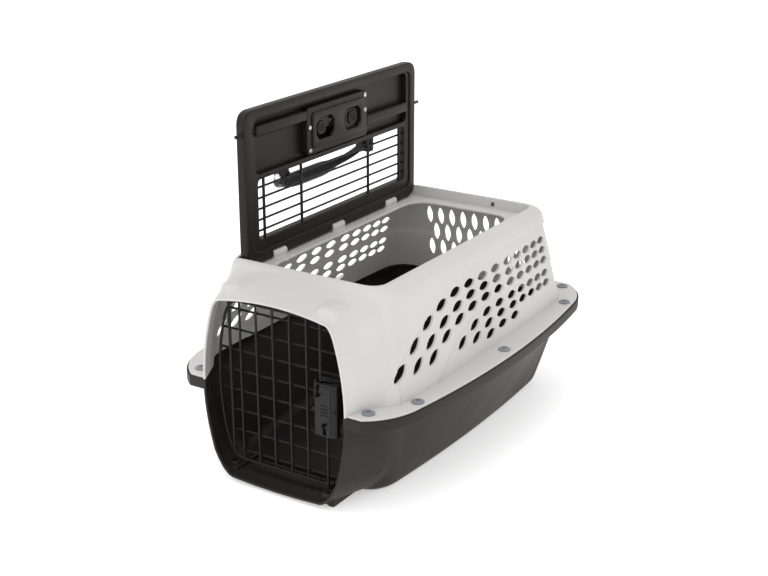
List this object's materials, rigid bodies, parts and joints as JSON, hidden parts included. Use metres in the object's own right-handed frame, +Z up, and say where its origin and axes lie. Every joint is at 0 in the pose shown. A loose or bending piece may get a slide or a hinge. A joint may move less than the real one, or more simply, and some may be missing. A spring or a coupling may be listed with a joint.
{
  "type": "pet transport carrier",
  "caption": "Hard-shell pet carrier: dark tub, light vented top shell, hinged wire front door with squeeze latch, and a hinged top lid with wire window, rod latch and carrying handle.",
  "frame": {"origin": "middle of the flange in plan, on the surface the carrier stands on", "axes": "+Z up; the front door faces -Y, +X is right seen from the front; metres"},
  "size_m": [0.326, 0.494, 0.401],
  "materials": {
    "shell_plastic": "fine moulded texture, soft sheen",
    "tub_plastic": "fine moulded texture, soft sheen",
    "lid_plastic": "fine moulded texture, soft sheen",
    "latch_plastic": "satin moulded",
    "coated_wire": "semi-gloss powder coat",
    "bright_steel": "plain drawn wire and turned pins",
    "bolt_plastic": "satin moulded"
  },
  "bodies": {
    "carrier": {"base_tub": "tub_plastic", "top_shell": "shell_plastic", "flange_bolt_1": "bolt_plastic", "flange_bolt_2": "bolt_plastic", "flange_bolt_3": "bolt_plastic", "flange_bolt_4": "bolt_plastic", "flange_bolt_5": "bolt_plastic", "flange_bolt_6": "bolt_plastic", "flange_bolt_7": "bolt_plastic", "flange_bolt_8": "bolt_plastic", "flange_bolt_9": "bolt_plastic", "flange_bolt_10": "bolt_plastic", "flange_nut_1": "bolt_plastic", "flange_nut_2": "bolt_plastic", "flange_nut_3": "bolt_plastic", "flange_nut_4": "bolt_plastic", "flange_nut_5": "bolt_plastic", "flange_nut_6": "bolt_plastic", "flange_nut_7": "bolt_plastic", "flange_nut_8": "bolt_plastic", "flange_nut_9": "bolt_plastic", "flange_nut_10": "bolt_plastic", "lid_hinge_pin_1": "bright_steel", "lid_hinge_pin_2": "bright_steel", "lid_hinge_pin_3": "bright_steel"},
    "front_door": {"door_grille": "coated_wire", "door_latch_housing": "latch_plastic", "door_latch_plate": "latch_plastic", "door_latch_spring_upper": "bright_steel", "door_latch_spring_lower": "bright_steel"},
    "door_latch_upper": {"door_latch_rod_upper": "coated_wire"},
    "door_latch_lower": {"door_latch_rod_lower": "coated_wire"},
    "lid": {"lid_frame": "lid_plastic", "lid_grille": "coated_wire", "lid_latch_cover": "lid_plastic", "lid_latch_spring": "bright_steel", "handle_pin_front": "bright_steel", "handle_pin_rear": "bright_steel", "lid_cover_screw_1": "bright_steel", "lid_cover_screw_2": "bright_steel", "lid_cover_screw_3": "bright_steel", "lid_cover_screw_4": "bright_steel"},
    "lid_latch_front": {"lid_latch_slider_front": "lid_plastic", "lid_latch_rod_front": "coated_wire"},
    "lid_latch_rear": {"lid_latch_slider_rear": "lid_plastic", "lid_latch_rod_rear": "coated_wire"},
    "carry_handle": {"handle": "latch_plastic"}
  },
  "joints": [
    {"name": "front_door_swing", "type": "hinge", "parent": "carrier", "child": "front_door", "pos_m": [-0.07, -0.227, 0.116], "axis": [0, 0, -1], "range_deg": [0, 90]},
    {"name": "door_latch_squeeze", "type": "slide", "parent": "front_door", "child": "door_latch_upper", "axis": [0, 0, 1], "range_m": [0, 0.01], "deforming": ["door_latch_spring_upper"]},
    {"name": "door_latch_squeeze_lower", "type": "slide", "parent": "front_door", "child": "door_latch_lower", "axis": [0, 0, 1], "range_m": [-0.01, 0], "deforming": ["door_latch_spring_lower"]},
    {"name": "lid_hinge", "type": "hinge", "parent": "carrier", "child": "lid", "pos_m": [-0.084, 0, 0.229], "axis": [0, 1, 0], "range_deg": [0, 90]},
    {"name": "lid_latch_slide", "type": "slide", "parent": "lid", "child": "lid_latch_front", "axis": [0, 1, 0], "range_m": [0, 0.011], "stiffness_N_per_m": 150, "springref_m": -0.02},
    {"name": "lid_latch_slide_rear", "type": "slide", "parent": "lid", "child": "lid_latch_rear", "axis": [0, 1, 0], "range_m": [-0.011, 0]},
    {"name": "handle_fold", "type": "hinge", "parent": "lid", "child": "carry_handle", "pos_m": [-0.1005, 0, 0.308], "axis": [0, 1, 0], "range_deg": [-10, 90]}
  ],
  "couplings": [
    {"joint": "door_latch_squeeze_lower", "follows": "door_latch_squeeze", "ratio": -1},
    {"joint": "lid_latch_slide_rear", "follows": "lid_latch_slide", "ratio": -1}
  ]
}
